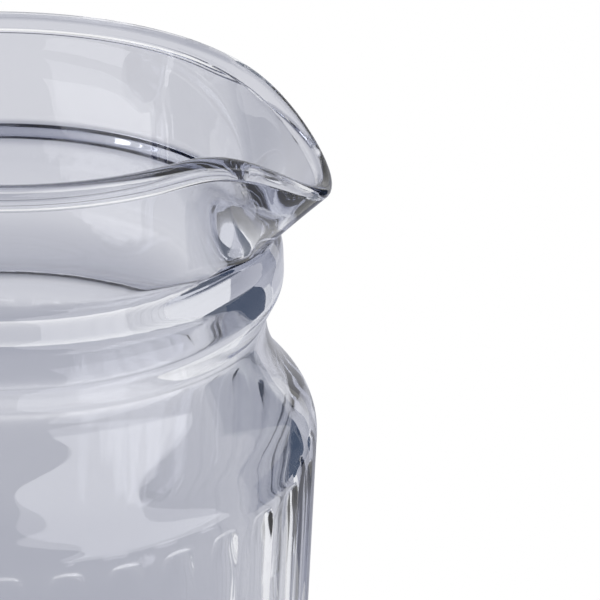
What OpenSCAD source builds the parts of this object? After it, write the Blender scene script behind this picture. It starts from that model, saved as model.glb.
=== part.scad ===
// Glass fridge jug: a panelled body with a ringed neck and a pulled spout, and a glass bar handle.
// The axis of the jug is Z, the base stands on Z = 0, the spout points along +X and the handle along -X.

/* [Body] */
// Height from the base to the top of the rim
total_h = 225; // [190:1:280]
// Radius of the body across the ridges between its panels
body_r = 55.5; // [52:0.5:70]
// Number of flat panels round the body
panel_count = 36; // [16:4:48]
// Thickness of the glass in the side
wall = 4; // [2.5:0.1:5.5]
// Thickness of the glass in the base
base_t = 10; // [6:0.5:16]
// Rounding outside, between the side and the base
heel_round = 9; // [4:0.5:13]
// Rounding inside, between the side and the base
inner_round = 14; // [6:0.5:20]
// Radius of the hollow under the base
punt_r = 38; // [25:0.5:38]
// Depth of the hollow under the base
punt_depth = 2; // [0.5:0.1:4]

/* [Shoulder] */
// Rounding between the straight side and the sloping shoulder
shoulder_round = 9.9; // [7:0.1:12]
// Rounding of the cove between the sloping shoulder and the waist
cove_round = 22; // [18:0.5:26]
// How far the waist, between the cove and the ring, stands out from the neck
waist_out = 1.1; // [0:0.1:2]

/* [Neck] */
// Outer radius of the plain neck
neck_r = 44.5; // [43.5:0.1:46]
// Thickness of the glass in the neck
neck_wall = 2.9; // [2.4:0.1:3.2]
// Height of the plain neck, from the ring up to the rim
neck_h = 21; // [19:0.5:30]
// Radius of the round bead that edges the rim
rim_bead = 2; // [1.7:0.1:2.4]

/* [Ring] */
// How far the ring under the neck stands out from the neck
ring_out = 4; // [3:0.1:6]
// Height of the ring, from the waist up to the neck
ring_h = 16.9; // [14:0.1:20]
// Height of the slope on top of the ring
ring_slope_h = 4.5; // [3.5:0.1:6]
// Height of the ring's upright face
ring_face_h = 6.1; // [4:0.1:8]

/* [Spout] */
// Half of the angle over which the rim is pulled out
spout_half = 45; // [38:1:45]
// How far the lip is pulled out beyond the rim
spout_reach = 10.8; // [6:0.1:12]
// How far the lip dips below the rim
spout_drop = 11.1; // [6:0.1:12]
// Radius of the bead at the tip of the lip, where the pull has drawn it thin
lip_bead = 1.4; // [1:0.1:1.7]
// Depth of the spout's root below the top of the ring
spout_root = 3.5; // [3:0.1:5]

/* [Handle] */
// Gap for the fingers, from the straight side to the grip
finger_gap = 30; // [24:1:45]
// Width of the grip
grip_w = 18; // [12:0.5:24]
// Thickness of the grip
grip_t = 12; // [9:0.5:16]
// Depth of the handle's upper root below the upper edge of the ring
handle_drop = 6.8; // [5:0.1:10]
// Height from the lower root of the handle to the upper one
handle_h = 121; // [100:1:135]
// Swelling of the grip where it is stuck to the body, as a part of its section
root_swell = 0.3; // [0:0.05:0.5]

/* [Hidden] */
$fn = 96;

// Radii of the ring, whose face leans in a little towards its upper edge, and of the waist below it
ring_lean = 0.4;
ring_r = neck_r + ring_out;
ring_top_r = ring_r - ring_lean;
waist_r = neck_r + waist_out;

// The round of the shoulder and the round of the cove meet where both lie at this angle
shoulder_angle = acos(1 - (body_r - waist_r) / (shoulder_round + cove_round));

// Heights of the outside, from the rim down
neck_z = total_h - neck_h;
ring_high_z = neck_z - ring_slope_h;
ring_low_z = ring_high_z - ring_face_h;
waist_z = neck_z - ring_h;
side_z = waist_z - (shoulder_round + cove_round) * sin(shoulder_angle);

// The mouth is a true cylinder behind the ring, and the inside of the cove runs up into it
mouth_r = neck_r - neck_wall;
side_in_r = body_r - wall;
cove_r = waist_r + cove_round;
cove_in_round = cove_round + wall;
cove_in_angle = acos(min(1, (cove_r - mouth_r) / cove_in_round));

// The foot of the neck stands in the ring, this far behind the face of the mouth
throat_step = 0.15;
throat_r = mouth_r + throat_step;

// Centre of the bead round the rim
rim_r = throat_r + rim_bead;
rim_z = total_h - rim_bead;

// Angle round the bead at which the outside of the lip runs into it, and the steps of each round stretch
lip_angle = -45;
arc_steps = 10;

// The slope on top of the ring runs on into the glass of the neck, as steep as it is outside
slope_r = neck_wall / 2;
slope_rise = ring_slope_h / (ring_top_r - neck_r);

// The ridges between the panels are blunt: the flats would meet this far outside them
ridge_blunt = 0.06;

// Steps of the sweep that makes the neck, and the powers that shape the spout's pull, dip and throat
spout_step = 4.5;
neck_step = 6;
wall_steps = 4;
bead_steps = 8;
reach_power = 3.7;
drop_power = 5;
throat_power = 1.5;

// Handle: how far its ends run into the body before they are cut to its face, the powers that square up
// its bow, the share of its length that swells at each root, and the steps of its sweep
root_sink = 5;
bow_power = 0.6;
height_power = 0.8;
root_share = 0.12;
handle_rings = 40;
handle_sides = 24;
line_step = 0.002;
handle_top = ring_high_z - handle_drop;

// Points along an arc in the half section, from one angle to another
function arc(cr, cz, r, from, to) = [
    for (i = [0:arc_steps])
        let (a = from + (to - from) * i / arc_steps)
        [cr + r * cos(a), cz + r * sin(a)]
];

// An arc without its first point, which the arc before it already has
function skip_first(path) = [for (i = [1:len(path) - 1]) path[i]];

// Share of the spout's pull at an angle from its middle: 1 in the middle, 0 at its edges
function pull(a, power) = pow(max(0, 1 - pow(a / spout_half, 2)), power);

// Half section of the outside, from the middle of the base up to the top of the ring
outside = concat(
    [[0, punt_depth], [punt_r - punt_depth, punt_depth], [punt_r, 0]],
    arc(body_r - heel_round, heel_round, heel_round, -90, 0),
    arc(body_r - shoulder_round, side_z, shoulder_round, 0, shoulder_angle),
    skip_first(arc(cove_r, waist_z, cove_round, 180 + shoulder_angle, 180)),
    [[ring_r, ring_low_z], [ring_top_r, ring_high_z]],
    [[neck_r, neck_z], [neck_r - slope_r, neck_z + slope_r * slope_rise], [0, neck_z + slope_r * slope_rise]]
);

// Half section of the inside, from the middle of the base up through the mouth
inside = concat(
    [[0, base_t]],
    arc(side_in_r - inner_round, base_t + inner_round, inner_round, -90, 0),
    arc(body_r - shoulder_round, side_z, shoulder_round - wall, 0, shoulder_angle),
    skip_first(arc(cove_r, waist_z, cove_in_round, 180 + shoulder_angle, 180 + cove_in_angle)),
    [[mouth_r, ring_low_z], [mouth_r, total_h + rim_bead], [0, total_h + rim_bead]]
);

// Section of the neck at an angle from the spout: up the outside, over the bead and down the inside
function neck_section(a) =
    let (
        root_z = neck_z - spout_root,
        pulled = pull(a, reach_power),
        bead = rim_bead + (lip_bead - rim_bead) * pulled,
        bead_r = rim_r + spout_reach * pulled,
        bead_z = rim_z - spout_drop * pull(a, drop_power),
        rim_angle = -acos((neck_r - rim_r) / rim_bead),
        seat_angle = rim_angle + (lip_angle - rim_angle) * pulled,
        seat_r = bead_r + bead * cos(seat_angle),
        seat_z = bead_z + bead * sin(seat_angle)
    )
    concat(
        [for (i = [0:wall_steps - 1]) let (t = i / wall_steps)
            [neck_r + (seat_r - neck_r) * t, root_z + (seat_z - root_z) * t]],
        [for (i = [0:bead_steps]) let (b = seat_angle + (180 - seat_angle) * i / bead_steps)
            [bead_r + bead * cos(b), bead_z + bead * sin(b)]],
        [for (i = [1:wall_steps]) let (t = 1 - i / wall_steps)
            [throat_r + (bead_r - bead - throat_r) * pow(t, throat_power), root_z + (bead_z - root_z) * t]]
    );

// The outside of the body and ring as one solid, with the panels cut flat
module outer_body() {
    intersection() {
        rotate_extrude() polygon(outside);
        linear_extrude(total_h)
            polygon([for (i = [0:panel_count - 1]) let (a = (i + 0.5) * 360 / panel_count)
                (body_r + ridge_blunt) * [cos(a), sin(a)]]);
    }
}

// The neck and rim, with the spout pulled out of them, as one sweep of the section round the axis
module neck() {
    pulled = round(2 * spout_half / spout_step);
    plain = round((360 - 2 * spout_half) / neck_step);
    angles = concat(
        [for (i = [0:pulled - 1]) spout_half * (2 * i / pulled - 1)],
        [for (i = [0:plain - 1]) spout_half + (360 - 2 * spout_half) * i / plain]
    );
    columns = len(angles);
    sections = [for (a = angles) neck_section(a)];
    count = len(sections[0]);
    points = [for (i = [0:columns - 1]) for (p = sections[i])
        [p[0] * cos(angles[i]), p[0] * sin(angles[i]), p[1]]];
    function at(i, j) = (i % columns) * count + j % count;
    polyhedron(points, [for (i = [0:columns - 1]) for (j = [0:count - 1])
        each [[at(i, j), at(i, j + 1), at(i + 1, j + 1)], [at(i, j), at(i + 1, j + 1), at(i + 1, j)]]]);
}

// The hollow of the jug, open through the mouth
module cavity() {
    rotate_extrude() polygon(inside);
}

module glass_body() {
    color("lightsteelblue", 0.5) {
        difference() {
            outer_body();
            cavity();
        }
        neck();
    }
}

// Middle line of the handle from its upper root, at 0, to its lower root, at 1
function grip_line(t) =
    let (
        a = 90 - 180 * t,
        root_r = ring_r + (body_r - ring_r) * t - root_sink,
        grip_r = body_r + finger_gap + grip_t / 2,
        rise = sign(sin(a)) * pow(abs(sin(a)), height_power)
    )
    [-root_r - (grip_r - root_r) * pow(cos(a), bow_power), handle_top - handle_h / 2 * (1 - rise)];

// Size of the handle's section along its length: it swells at the two roots
function grip_scale(t) =
    1 + root_swell * (exp(-pow(t / root_share, 2)) + exp(-pow((1 - t) / root_share, 2)));

module handle_bar() {
    last = handle_rings - 1;
    points = [for (i = [0:last]) let (
            t = (1 - cos(180 * i / last)) / 2,
            p = grip_line(t),
            ahead = grip_line(min(1, t + line_step)) - grip_line(max(0, t - line_step)),
            along = ahead / norm(ahead),
            s = grip_scale(t)
        )
        for (k = [0:handle_sides - 1]) let (
            b = 360 * k / handle_sides,
            across = s * grip_t / 2 * sin(b)
        )
        [p[0] - along[1] * across, s * grip_w / 2 * cos(b), p[1] + along[0] * across]];
    function at(i, k) = i * handle_sides + k % handle_sides;
    sides = [for (i = [0:last - 1]) for (k = [0:handle_sides - 1])
        each [[at(i, k), at(i + 1, k), at(i + 1, k + 1)], [at(i, k), at(i + 1, k + 1), at(i, k + 1)]]];
    top = [[for (k = [0:handle_sides - 1]) at(0, k)]];
    bottom = [[for (k = [handle_sides - 1:-1:0]) at(last, k)]];
    polyhedron(points, concat(sides, top, bottom));
}

module handle() {
    color("lightsteelblue", 0.5) difference() {
        handle_bar();
        outer_body();
    }
}

glass_body();
handle();
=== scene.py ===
"""A clear glass fridge jug with a panelled body, a ringed neck, a pulled spout and a bar handle."""
from math import acos, cos, degrees, exp, log1p, pi, radians, sin, sqrt

import bpy
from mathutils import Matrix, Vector


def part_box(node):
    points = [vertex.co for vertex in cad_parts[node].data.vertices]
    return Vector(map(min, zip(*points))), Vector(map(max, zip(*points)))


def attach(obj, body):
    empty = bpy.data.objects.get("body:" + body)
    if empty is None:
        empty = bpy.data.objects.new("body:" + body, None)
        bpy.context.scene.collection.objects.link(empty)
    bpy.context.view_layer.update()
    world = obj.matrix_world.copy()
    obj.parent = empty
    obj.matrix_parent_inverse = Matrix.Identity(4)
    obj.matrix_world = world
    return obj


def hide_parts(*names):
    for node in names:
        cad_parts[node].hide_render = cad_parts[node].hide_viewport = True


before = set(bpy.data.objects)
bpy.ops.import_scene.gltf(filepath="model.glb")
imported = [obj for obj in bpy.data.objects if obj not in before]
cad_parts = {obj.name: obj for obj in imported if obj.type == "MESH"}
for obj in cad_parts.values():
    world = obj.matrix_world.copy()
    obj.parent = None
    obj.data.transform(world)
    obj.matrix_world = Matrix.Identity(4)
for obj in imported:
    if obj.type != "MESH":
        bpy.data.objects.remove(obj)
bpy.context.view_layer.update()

# Glass body: the jug itself, blown from one gather of clear soda-lime glass in a panelled mould. The rim is
# cracked off and melted back into a round bead, and the spout is pulled out of the hot neck.
# Sizes are in millimetres, in the frame of the CAD model: the axis is Z and the spout points along +X.
MM = 0.001
body_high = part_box("glass_body")[1]
total_h = body_high.z / MM
panel_count = 36
panel_half = pi / panel_count
body_r = body_high.y / MM / cos(panel_half)
wall = 4
base_t = 10
heel_round = 9
inner_round = 14
punt_r = 38
punt_depth = 2
shoulder_round = 9.9
cove_round = 22
neck_r = 44.5
neck_wall = 2.9
neck_h = 21
rim_bead = 2
ring_r = 48.5
ring_top_r = 48.1
ring_slope_h = 4.5
ring_face_h = 6.1
ring_h = 16.9
waist_r = 45.6
spout_half = 45
spout_drop = 11.1
lip_bead = 1.4
spout_root = 3.5
throat_step = 0.15

# How far below the round of the shoulder the panels end, and the fine steps of the blown section begin
panel_gap = 0.6
blown_depth = 16

# Heights and radii that follow from those
neck_z = total_h - neck_h
ring_high_z = neck_z - ring_slope_h
ring_low_z = ring_high_z - ring_face_h
waist_z = neck_z - ring_h
shoulder_turn = acos(1 - (body_r - waist_r) / (shoulder_round + cove_round))
side_z = waist_z - (shoulder_round + cove_round) * sin(shoulder_turn)
blown_z = side_z - blown_depth
panel_top = side_z - panel_gap
root_z = neck_z - spout_root
mouth_r = neck_r - neck_wall
side_in_r = body_r - wall
rim_r = mouth_r + throat_step + rim_bead
rim_z = total_h - rim_bead
spout_reach = body_high.x / MM - rim_r - lip_bead

# Angle round the bead, in degrees, at which the outside of the lip runs into it
lip_angle = -45

# Powers that shape the spout's pull, its dip and its throat, whose flanks the tool leaves thick
reach_power = 3.7
drop_power = 5
throat_power = 1.5
flank_power = 4

# Panels: shallow flutes with a narrow rib between them. Each is scooped a little deeper towards its top, an
# arch with a ledge under the shoulder. The spout is pulled by hand, a little off the middle of a panel.
panel_turn = radians(1.6)
flute_share = 0.66
flute_half = flute_share * panel_half
flute_depth = 0.28
scoop_depth = 0.3
scoop_h = 4
scoop_power = 4
arch_drop = 3.5
arch_power = 5
ledge_h = 1
rib_blunt = 0.06
rib_ease = 0.04

# Columns of the mesh across half a panel, as shares of it: closest together at the edge of the flute
panel_columns = (0.2, 0.4, 0.52, 0.6, flute_share, 0.72, 0.82)

# How far the glass is rounded over: by the fire polish at the foot, by the mould at the ring outside, and
# most by the air inside, which leaves every form soft
corner_reach = 1.6
mould_reach = 0.9
air_reach = 3

# The least turn that counts as a corner of the foot, and the step between points of the blown section
sharp_corner = radians(8)
section_step = 0.3

# Thickness of the blown wall at heights: that of the body, then thinner through the shoulder and the ring
thin_below = 14
thin_above = 4
shoulder_wall = 3.2
ring_wall = 3
wall_steps = (
    (side_z - thin_below, wall),
    (side_z + thin_above, shoulder_wall),
    (neck_z, ring_wall),
    (neck_z + thin_above, neck_wall),
)


def arc(centre_r, centre_z, radius, start, end, steps=18):
    """Points along an arc of the half section, from one angle to another in degrees."""
    turns = [radians(start + (end - start) * i / steps) for i in range(steps + 1)]
    return [Vector((centre_r + radius * cos(a), centre_z + radius * sin(a))) for a in turns]


def line(start, end, steps):
    """Points along a straight stretch of the half section, without its two ends."""
    return [Vector(start).lerp(Vector(end), i / steps) for i in range(1, steps)]


def eased(path, reach, leg_share=0.45, steps=5):
    """The path with its sharp corners rounded, each from a reach before the corner to as far after it."""
    rounded = [path[0]]
    for before, corner, after in zip(path, path[1:], path[2:]):
        leg_in = corner - before
        leg_out = after - corner
        if leg_in.angle(leg_out) < sharp_corner:
            rounded.append(corner)
            continue
        start = corner - leg_in * min(leg_share, reach / leg_in.length)
        end = corner + leg_out * min(leg_share, reach / leg_out.length)
        for i in range(steps + 1):
            t = i / steps
            rounded.append(start.lerp(corner, t).lerp(corner.lerp(end, t), t))
    rounded.append(path[-1])
    return rounded


def lesser(a, b, ease):
    """The smaller of two radii, rounded over where they cross."""
    return min(a, b) - ease * log1p(exp(-abs(a - b) / ease))


def off_panel(angle):
    """Angle from the middle of the nearest panel."""
    return abs((angle - panel_turn + panel_half) % (2 * panel_half) - panel_half)


def panel_cut(off_middle, z):
    """Depth of a panel off its middle at a height: a shallow flute, scooped to an arched ledge on top."""
    u = min(1, off_middle / flute_half)
    arch_z = panel_top - arch_drop * u ** arch_power
    scoop = scoop_depth * (1 - u ** scoop_power) * exp(-(max(0, arch_z - z) / scoop_h) ** 2)
    rise = min(1, max(0, (z - arch_z) / ledge_h))
    ledge = rise * rise * (3 - 2 * rise)
    return (flute_depth * (1 - u * u) + scoop) * (1 - ledge)


def pull(angle, power):
    """Share of the spout's pull at an angle from its middle: 1 in the middle, 0 at its edges."""
    return max(0, 1 - (degrees(angle) / spout_half) ** 2) ** power


def even(path, step, slack=1e-9):
    """Points at even steps along a path of the half section."""
    lengths = [(b - a).length for a, b in zip(path, path[1:])]
    count = round(sum(lengths) / step)
    points = []
    start = 0
    legs = iter(zip(path, path[1:], lengths))
    a, b, length = next(legs)
    for i in range(count + 1):
        along = sum(lengths) * i / count
        while along > start + length + slack:
            start += length
            a, b, length = next(legs)
        points.append(a.lerp(b, (along - start) / length))
    return points


def melted(path, reach, passes=2):
    """Even points of a path with every corner melted round over a reach, its ends kept."""
    points = even(path, section_step)
    width = round(reach / section_step)
    for _ in range(passes):
        points = [
            sum(points[max(0, i - w):i + w + 1], Vector((0, 0))) / (2 * w + 1)
            for i, w in ((i, min(width, i, len(points) - 1 - i)) for i in range(len(points)))
        ]
    return points


def thickness(z):
    """Thickness of the blown wall at a height."""
    for (z0, t0), (z1, t1) in zip(wall_steps, wall_steps[1:]):
        if z <= z1:
            return t0 + (t1 - t0) * max(0, z - z0) / (z1 - z0)
    return wall_steps[-1][1]


def inset(path):
    """The path moved into the jug by the thickness of the wall, with its corners kept."""
    legs = [(b - a).normalized() for a, b in zip(path, path[1:])]
    moved = []
    for p, leg_in, leg_out in zip(path, legs[:1] + legs, legs + legs[-1:]):
        across = Vector((-leg_in.y, leg_in.x))
        middle = (across + Vector((-leg_out.y, leg_out.x))).normalized()
        moved.append(p + middle * thickness(p.y) / middle.dot(across))
    return moved


# The half section, stretch by stretch. The plunger that presses the neck leaves it straight behind the ring.
shoulder = arc(body_r - shoulder_round, side_z, shoulder_round, 0, degrees(shoulder_turn))
cove = arc(waist_r + cove_round, waist_z, cove_round, 180 + degrees(shoulder_turn), 180)[1:]
ring = [Vector((ring_r, ring_low_z)), Vector((ring_top_r, ring_high_z)), Vector((neck_r, neck_z))]
heel = arc(body_r - heel_round, heel_round, heel_round, -90, 0)
foot = [Vector((0, punt_depth)), Vector((punt_r - punt_depth, punt_depth)), Vector((punt_r, 0)), heel[0]]
below_ring = [Vector((body_r, blown_z))] + shoulder + cove
neck_top = Vector((neck_r, rim_z))
blown = melted(below_ring + ring + [neck_top], mould_reach)
blown_below = [p for p in blown if p.y <= root_z]
blown_neck = [p for p in blown if p.y > root_z]
outside = (
    eased(foot, corner_reach)[1:-1]
    + heel
    + line(heel[-1], (body_r, blown_z), steps=10)
    + blown_below
)
plunger = [Vector((neck_r, p.y)) for p in ring]
blown_in = melted(inset(below_ring + plunger + [neck_top]), air_reach)[::-1]
inner_heel = arc(side_in_r - inner_round, base_t + inner_round, inner_round, 0, -90)
inside = (
    [p for p in blown_in if p.y <= root_z]
    + line((side_in_r, blown_z), inner_heel[0], steps=12)
    + inner_heel
    + line(inner_heel[-1], (0, base_t), steps=4)
)
throat = [p for p in blown_in if p.y > root_z]


def glass_section(angle):
    """Section of the jug at an angle from the spout: up the outside, over the bead and down the inside."""
    off_middle = off_panel(angle)
    off_spout = (angle + pi) % (2 * pi) - pi
    pulled = pull(off_spout, reach_power)
    bead = Vector((rim_r + spout_reach * pulled, rim_z - spout_drop * pull(off_spout, drop_power)))
    bead_size = rim_bead + (lip_bead - rim_bead) * pulled
    rim_angle = -degrees(acos((neck_r - rim_r) / rim_bead))
    rim_arc = arc(bead.x, bead.y, bead_size, rim_angle + (lip_angle - rim_angle) * pulled, 180)
    seat = rim_arc[0]
    section = []
    for p in outside:
        panel_r = body_r + rib_blunt - panel_cut(off_middle, p.y)
        section.append(Vector((lesser(p.x, panel_r, rib_ease), p.y)))
    for p in blown_neck:
        t = (p.y - root_z) / (rim_z - root_z)
        leant = (seat.x - neck_r) * t
        section.append(Vector((p.x + leant, root_z + (seat.y - root_z) * t)))
    section += rim_arc
    throat_reach = bead.x - bead_size - mouth_r
    for p in throat:
        t = (p.y - root_z) / (rim_z - root_z)
        pulled_out = throat_reach * t ** (throat_power + flank_power * (1 - pulled))
        section.append(Vector((p.x + pulled_out, root_z + (bead.y - root_z) * t)))
    return section + inside


def column_angles():
    """Angles round the jug, closer together near the edges of the flutes, where the glass turns."""
    shares = [-1] + [-s for s in panel_columns[::-1]] + [0] + list(panel_columns)
    for panel in range(panel_count):
        for share in shares:
            yield panel_turn + panel_half * (2 * panel + share)


def add_mesh(name, vertices, faces):
    """A smooth-shaded object from vertices in millimetres and faces, in the scene's collection."""
    mesh = bpy.data.meshes.new(name)
    mesh.from_pydata([[c * MM for c in v] for v in vertices], [], faces)
    mesh.shade_smooth()
    piece = bpy.data.objects.new(name, mesh)
    bpy.context.scene.collection.objects.link(piece)
    return piece


def swept(rings, first_cap, last_cap):
    """Vertices and faces of a closed skin over rings of points, with one more point to close each end."""
    count = len(rings[0])
    vertices = [v for points in rings for v in points] + [first_cap, last_cap]
    faces = []
    for r in range(len(rings) - 1):
        for k in range(count):
            n = (k + 1) % count
            faces.append((r * count + k, r * count + n, (r + 1) * count + n, (r + 1) * count + k))
    last = (len(rings) - 1) * count
    for k in range(count):
        n = (k + 1) % count
        faces.append((n, k, len(vertices) - 2))
        faces.append((last + k, last + n, len(vertices) - 1))
    return vertices, faces


angles = list(column_angles())
sections = [glass_section(a) for a in angles]
rings = [
    [(s[i].x * cos(a), s[i].x * sin(a), s[i].y) for a, s in zip(angles, sections)]
    for i in range(len(sections[0]) - 1)
]
glass_body = add_mesh("jug_body", *swept(rings, (0, 0, punt_depth), (0, 0, base_t)))


def linear(hex_colour):
    """An sRGB hex colour as linear red, green, blue and alpha."""
    shares = [int(hex_colour[i:i + 2], 16) / 255 for i in (1, 3, 5)]
    return [s / 12.92 if s <= 0.04045 else ((s + 0.055) / 1.055) ** 2.4 for s in shares] + [1]


def add_node(tree, kind, inputs=None, **settings):
    """A node with its settings, and its inputs by name or number: each a value, or a link from an output."""
    node = tree.nodes.new(kind)
    for name, value in settings.items():
        setattr(node, name, value)
    for name, value in (inputs or {}).items():
        if isinstance(value, bpy.types.NodeSocket):
            tree.links.new(value, node.inputs[name])
        else:
            node.inputs[name].default_value = value
    return node


# Soda-lime glass, blown in a mould and fire-polished: sharp reflections and refraction, a skin that waves
# very slightly where it froze, and a cool grey where the eye looks through a lot of it.
glass_colour = "#ffffff"
glass_tint = "#b2b8cc"
glass_ior = 1.5
absorption_per_m = 36
wave_mm = 14
wave_depth_mm = 0.02

fire_polished_glass = bpy.data.materials.new("soda_lime_glass_fire_polished")
fire_polished_glass.use_nodes = True
tree = fire_polished_glass.node_tree
tree.nodes.clear()
place = add_node(tree, "ShaderNodeTexCoord")
waves = add_node(tree, "ShaderNodeTexNoise", {
    "Vector": place.outputs["Object"], "Scale": 1 / (wave_mm * MM), "Detail": 1.0,
})
skin = add_node(tree, "ShaderNodeBump", {
    "Height": waves.outputs["Fac"], "Distance": wave_depth_mm * MM, "Strength": 1.0,
})
glass = add_node(tree, "ShaderNodeBsdfPrincipled", {
    "Base Color": linear(glass_colour), "Roughness": 0.0, "IOR": glass_ior, "Transmission Weight": 1.0,
    "Normal": skin.outputs["Normal"],
})
depth = add_node(tree, "ShaderNodeVolumeAbsorption", {
    "Color": linear(glass_tint), "Density": absorption_per_m,
})
add_node(tree, "ShaderNodeOutputMaterial", {
    "Surface": glass.outputs["BSDF"], "Volume": depth.outputs["Volume"],
})
glass_body.data.materials.append(fire_polished_glass)
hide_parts("glass_body")
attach(glass_body, "root")

# Handle: a bar of the same glass, drawn off hot, bowed out for the fingers and stuck on at both ends. Each
# end swells where it was pressed on, and is fused to the wall: on the ring above and on the panels below.
finger_gap = 30
grip_w = 18
grip_t = 12
handle_top = 192.7
handle_h = 121
root_swell = 0.3
root_share = 0.12
root_sink = 5
fused_depth = 0.6
bow_power = 0.6
height_power = 0.8


def grip_line(t):
    """Radius behind the axis and height of the handle's middle line, 0 at its top root, 1 at the other."""
    a = radians(90 - 180 * t)
    root_r = ring_r + (body_r - ring_r) * t - root_sink
    grip_r = body_r + finger_gap + grip_t / 2
    rise = abs(sin(a)) ** height_power * (1 if a > 0 else -1)
    bow = max(0, cos(a)) ** bow_power
    return Vector((root_r + (grip_r - root_r) * bow, handle_top - handle_h / 2 * (1 - rise)))


def wall_face(z, least_step=1e-6):
    """Radius of the jug's outside at a height, for the handle's ends to be pressed against."""
    for below, above in zip(outside, outside[1:]):
        if below.y <= z <= above.y:
            return below.lerp(above, (z - below.y) / max(least_step, above.y - below.y)).x
    return neck_r


def handle_ring(t, sides=40, step=0.002):
    """Points round the handle, an ellipse across its line that is pressed flat where it meets the jug."""
    middle = grip_line(t)
    along = (grip_line(min(1, t + step)) - grip_line(max(0, t - step))).normalized()
    size = 1 + root_swell * (exp(-(t / root_share) ** 2) + exp(-((1 - t) / root_share) ** 2))
    points = []
    for k in range(sides):
        b = 2 * pi * k / sides
        across = size * grip_t / 2 * sin(b)
        x = -middle.x - along.y * across
        y = size * grip_w / 2 * cos(b)
        z = middle.y - along.x * across
        reach = sqrt(x * x + y * y)
        pressed = max(1, (wall_face(z) - fused_depth) / reach)
        points.append((x * pressed, y * pressed, z))
    return points


handle_steps = 120
handle_rings = [handle_ring((1 - cos(pi * i / handle_steps)) / 2) for i in range(handle_steps + 1)]
ends = [grip_line(0), grip_line(1)]
caps = [(-(wall_face(p.y) - fused_depth), 0, p.y) for p in ends]
handle = add_mesh("jug_handle", *swept(handle_rings, *caps))
handle.data.materials.append(fire_polished_glass)
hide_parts("handle")
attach(handle, "root")

# Camera: stands close in front of the jug, above it and to its right, so that the jug's axis lies at the
# left edge of the picture. Its place is in millimetres, its turn in degrees.
camera_at = (76.05, -379.79, 358.47)
camera_turn = (66.228, -2.537, 4.813)
camera_lens = 146.26
camera_sensor = 36
camera = bpy.data.objects.new("camera", bpy.data.cameras.new("camera"))
camera.data.sensor_width = camera_sensor
camera.data.lens = camera_lens
camera.location = [c * MM for c in camera_at]
camera.rotation_euler = [radians(a) for a in camera_turn]
bpy.context.scene.collection.objects.link(camera)
bpy.context.scene.camera = camera

# Studio: a floor of matt white paper that runs out to white, in a white surround. Out there the camera, the
# reflections and the glass see plain white. Round the jug the camera sees the paper with the jug's shadow,
# and the reflections and the glass see a painted grey shade there, a flat glow that is darker near the jug.
floor_half = 3000
fade_from = 80
fade_to = 200
paper_colour = "#f2f2f0"
# Painted shade: the grey that reflections and the glass see on the paper near the jug, shown as a flat glow
painted_paper_shade = "#acaebb"
white = "#ffffff"
fill_level = 0.6

# Numbers of the sockets of a Mix node for colours, which has several of each name
mix_share = 0
mix_from = 6
mix_to = 7
mix_tone = 2


def fade_out(tree, start, end):
    """Output that runs from 0 at one distance from the jug's axis to 1 at another, in millimetres."""
    place = add_node(tree, "ShaderNodeTexCoord")
    away = add_node(tree, "ShaderNodeVectorMath", {0: place.outputs["Object"]}, operation="LENGTH")
    fade = add_node(tree, "ShaderNodeMapRange", {
        "Value": away.outputs["Value"], "From Min": start * MM, "From Max": end * MM,
    }, interpolation_type="SMOOTHSTEP")
    return fade.outputs["Result"]


def seen_white(tree, seen, unseen, camera_share=None):
    """Shader seen by the camera, by reflections and by the glass, or else the one for all other rays."""
    ray = add_node(tree, "ShaderNodeLightPath")
    camera_ray = ray.outputs["Is Camera Ray"]
    if camera_share:
        shared = add_node(tree, "ShaderNodeMath", {0: camera_ray, 1: camera_share}, operation="MULTIPLY")
        camera_ray = shared.outputs["Value"]
    glass_rays = {0: ray.outputs["Is Glossy Ray"], 1: ray.outputs["Is Transmission Ray"]}
    by_glass = add_node(tree, "ShaderNodeMath", glass_rays, operation="MAXIMUM")
    either = {0: camera_ray, 1: by_glass.outputs["Value"]}
    share = add_node(tree, "ShaderNodeMath", either, operation="MAXIMUM")
    mixed = add_node(tree, "ShaderNodeMixShader", {"Fac": share.outputs["Value"], 1: unseen, 2: seen})
    return mixed.outputs["Shader"]


floor_corners = [
    (-floor_half, -floor_half, 0), (floor_half, -floor_half, 0),
    (floor_half, floor_half, 0), (-floor_half, floor_half, 0),
]
floor = add_mesh("floor", floor_corners, [(0, 1, 2, 3)])

# Matt paper: an even, dull white that takes a soft shadow. Near the jug, what reflections and the glass see
# of it
# is painted shade: a flat grey glow that runs out to white.
paper_and_painted_shade = bpy.data.materials.new("matt_paper_and_painted_shade")
paper_and_painted_shade.use_nodes = True
tree = paper_and_painted_shade.node_tree
tree.nodes.clear()
fade = fade_out(tree, fade_from, fade_to)
matt = add_node(tree, "ShaderNodeBsdfDiffuse", {"Color": linear(paper_colour)})
# Painted shade: a flat glow that is grey near the jug and white further off, seen by reflections and the
# glass
tone = add_node(tree, "ShaderNodeMix", {
    mix_share: fade, mix_from: linear(painted_paper_shade), mix_to: linear(white),
}, data_type="RGBA")
plain = add_node(tree, "ShaderNodeEmission", {"Color": tone.outputs[mix_tone], "Strength": 1.0})
paper = seen_white(tree, plain.outputs["Emission"], matt.outputs["BSDF"], fade)
add_node(tree, "ShaderNodeOutputMaterial", {"Surface": paper})
floor.data.materials.append(paper_and_painted_shade)

world = bpy.data.worlds.new("white_surround")
bpy.context.scene.world = world
world.use_nodes = True
tree = world.node_tree
tree.nodes.clear()
fill = add_node(tree, "ShaderNodeBackground", {"Color": linear(white), "Strength": fill_level})
plain = add_node(tree, "ShaderNodeBackground", {"Color": linear(white), "Strength": 1.0})
surround = seen_white(tree, plain.outputs["Background"], fill.outputs["Background"])
add_node(tree, "ShaderNodeOutputWorld", {"Surface": surround})

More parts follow.
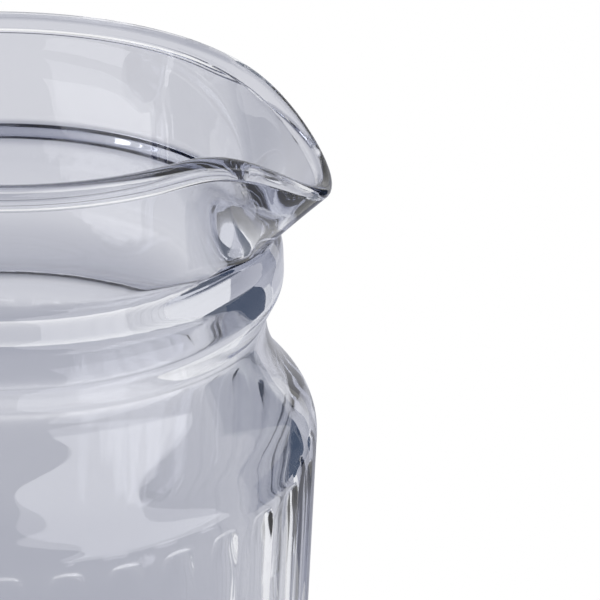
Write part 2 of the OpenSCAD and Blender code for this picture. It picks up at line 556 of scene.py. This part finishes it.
# Cards: sheets round the jug, out of the picture, each an even glow in place of lit matt card. Clear glass
# shows nothing but what it bends into view, so the grey sweep behind it gives its greys and the dark cards
# its dark edges and streaks. The sweep lies straight behind the jug, as the camera sees it, and turns up at
# its far end.
behind = radians(101.3)
sweep_near = 170
sweep_rise = 900
sweep_lean = 100
sweep_top = 300
sweep_half = 700
sweep_dark_to = 300
sweep_pale_from = 560
# Painted shade: the sweep glows in this darker grey near the jug and runs to the paler one further off
sweep_dark = "#b0b2bd"
sweep_pale = "#d4d5dc"
slate_card = "#4c586c"
card_level = 1.0
white_level = 2.5
card_lift = 1


def add_card(name, vertices, faces):
    """A sheet of card that only the glass sees, bent or reflected, and the node tree of its material."""
    card = add_mesh(name, vertices, faces)
    card.visible_camera = False
    card.visible_diffuse = False
    card.visible_shadow = False
    # Glowing card or silk: an even glow of a tone with no shine, the same from every side, in place of lit
    # card
    glowing_card = bpy.data.materials.new(name + "_matt")
    glowing_card.use_nodes = True
    glowing_card.node_tree.nodes.clear()
    card.data.materials.append(glowing_card)
    return glowing_card.node_tree


def light_card(tree, colour, level):
    """Give a card an even light of a colour, or of a tone from another node."""
    shade = add_node(tree, "ShaderNodeEmission", {"Color": colour, "Strength": level})
    add_node(tree, "ShaderNodeOutputMaterial", {"Surface": shade.outputs["Emission"]})


def standing(azimuth, distance, width, high):
    """Corners of a card that stands on the floor facing the jug, at an azimuth in degrees from the spout."""
    a = radians(azimuth)
    out = Vector((cos(a), sin(a), 0)) * distance
    side = Vector((-sin(a), cos(a), 0)) * (width / 2)
    up = Vector((0, 0, high))
    return [out - side, out + side, out + side + up, out - side + up]


def level_card(x, y, z=card_lift):
    """Corners of a level card, from one place to another along X and along Y, at a height."""
    return [(x[0], y[0], z), (x[1], y[0], z), (x[1], y[1], z), (x[0], y[1], z)]


along = Vector((cos(behind), sin(behind), 0))
across = Vector((-sin(behind), cos(behind), 0))
sweep_path = ((sweep_near, card_lift), (sweep_rise, card_lift), (sweep_rise + sweep_lean, sweep_top))
sweep_points = [
    along * distance + across * side + Vector((0, 0, z))
    for distance, z in sweep_path
    for side in (-sweep_half, sweep_half)
]
tree = add_card("grey_sweep", sweep_points, [(0, 1, 3, 2), (2, 3, 5, 4)])
# Painted shade: the sweep's glow is darker near the jug's axis and paler away from it
fade = fade_out(tree, sweep_dark_to, sweep_pale_from)
tone = add_node(tree, "ShaderNodeMix", {
    mix_share: fade, mix_from: linear(sweep_dark), mix_to: linear(sweep_pale),
}, data_type="RGBA")
light_card(tree, tone.outputs[mix_tone], card_level)

# Painted light: the dark cards glow an even slate tone, and the white cards glow brighter than white, in
# place of lit card that the glass reflects and bends
cards = (
    ("dark_card_right", standing(azimuth=34, distance=450, width=340, high=260), slate_card, card_level),
    ("dark_card_left", standing(azimuth=168, distance=450, width=320, high=300), slate_card, card_level),
    ("white_card_left", level_card(x=(-800, -130), y=(-800, -60)), white, white_level),
    ("white_card_over", level_card(x=(-500, 500), y=(-150, 800), z=1300), white, white_level),
)
for name, corners, colour, level in cards:
    light_card(add_card(name, corners, [(0, 1, 2, 3)]), linear(colour), level)

# Silk: a tall sheet of white silk, hung to the right of the camera and lit from behind. Its edges swing, so
# it lies on the shoulder as a swinging light, once in the outside of the glass and once in the inside.
# An edge has an azimuth, a swing, the rise where it swings furthest and that of a whole swing, in degrees.
silk_away = 1500
silk_eye = 175
silk_level = 3
silk_low = -8
silk_high = 75
silk_rows = 40
silk_edges = ((-63, 11, 6, 60), (-10, 12, -6, 80))
silk_points = []
for row in range(silk_rows + 1):
    rise = silk_low + (silk_high - silk_low) * row / silk_rows
    silk_z = silk_eye + silk_away * sin(radians(rise))
    flat = silk_away * cos(radians(rise))
    for middle, swing, furthest, whole in silk_edges:
        a = radians(middle + swing * cos(2 * pi * (rise - furthest) / whole))
        silk_points.append((flat * cos(a), flat * sin(a), silk_z))
silk_faces = [(2 * r, 2 * r + 1, 2 * r + 3, 2 * r + 2) for r in range(silk_rows)]
light_card(add_card("white_silk", silk_points, silk_faces), linear(white), silk_level)

# Soft box: the lamp behind the silk, a tall box with a white front. It gives the paper its light and the jug
# its soft shadow, and is left out of the glass, which shows the silk in its place.
box_azimuth = radians(-36)
box_distance = 800
box_width = 600
box_low = 30
box_high = 1900
box_level = 2.8
soft_box = bpy.data.objects.new("soft_box", bpy.data.lights.new("soft_box", "AREA"))
soft_box.data.shape = "RECTANGLE"
soft_box.data.size = box_width * MM
soft_box.data.size_y = (box_high - box_low) * MM
soft_box.data.energy = box_level * pi * soft_box.data.size * soft_box.data.size_y
soft_box.location = (
    box_distance * cos(box_azimuth) * MM,
    box_distance * sin(box_azimuth) * MM,
    (box_low + box_high) / 2 * MM,
)
soft_box.rotation_euler = (pi / 2, 0, box_azimuth + pi / 2)
soft_box.visible_camera = False
soft_box.visible_glossy = False
soft_box.visible_transmission = False
bpy.context.scene.collection.objects.link(soft_box)

# Bounces enough for light to find its way out of thick glass
glass_bounces = 32
bpy.context.scene.cycles.max_bounces = glass_bounces
bpy.context.scene.cycles.glossy_bounces = glass_bounces
bpy.context.scene.cycles.transmission_bounces = glass_bounces
bpy.context.scene.view_settings.view_transform = "Standard"
